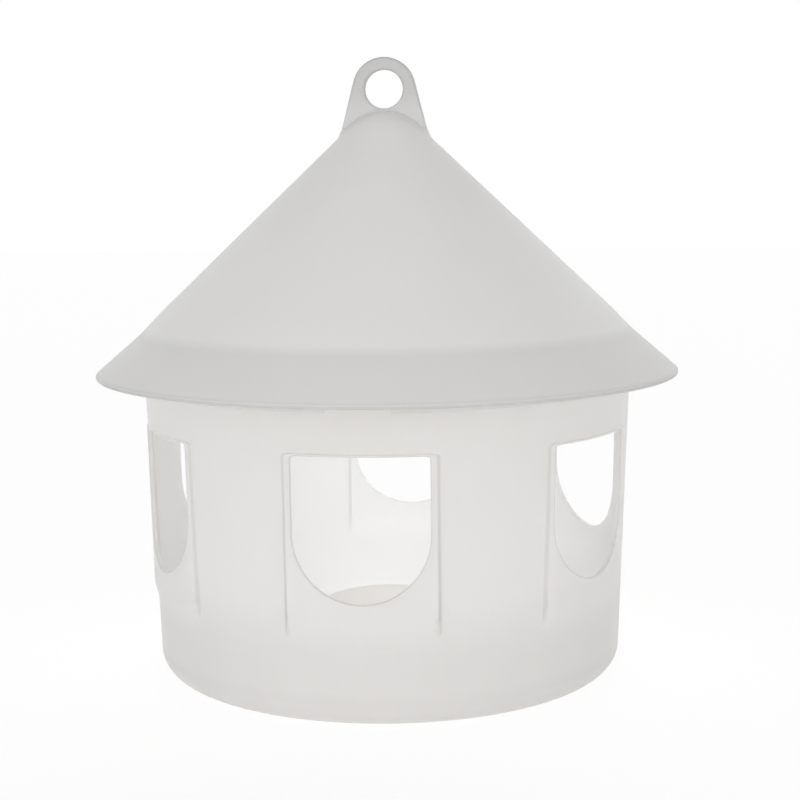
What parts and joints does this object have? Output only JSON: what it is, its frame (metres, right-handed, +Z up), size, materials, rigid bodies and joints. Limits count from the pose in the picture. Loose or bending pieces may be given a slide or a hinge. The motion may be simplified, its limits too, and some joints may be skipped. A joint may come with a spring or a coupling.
{
  "type": "bird drinker",
  "caption": "Round bird drinker: a tapered water pot with arched drinking windows around its wall, under a lift-off conical roof with a wide brim and a hanging eye.",
  "frame": {"origin": "middle of the pot's foot, on the surface that it stands on", "axes": "+Z up through the roof's tip, -Y out of the front window, +X to the right of someone facing that window"},
  "size_m": [0.238, 0.238, 0.25],
  "materials": {
    "pot_plastic": "milky translucent natural polypropylene, satin as moulded",
    "roof_plastic": "milky translucent natural polypropylene, satin as moulded"
  },
  "bodies": {
    "pot": {"pot": "pot_plastic"},
    "roof": {"roof": "roof_plastic"}
  },
  "joints": [
    {"name": "roof_lift", "type": "slide", "parent": "pot", "child": "roof", "axis": [0, 0, 1], "range_m": [0, 0.08]}
  ]
}
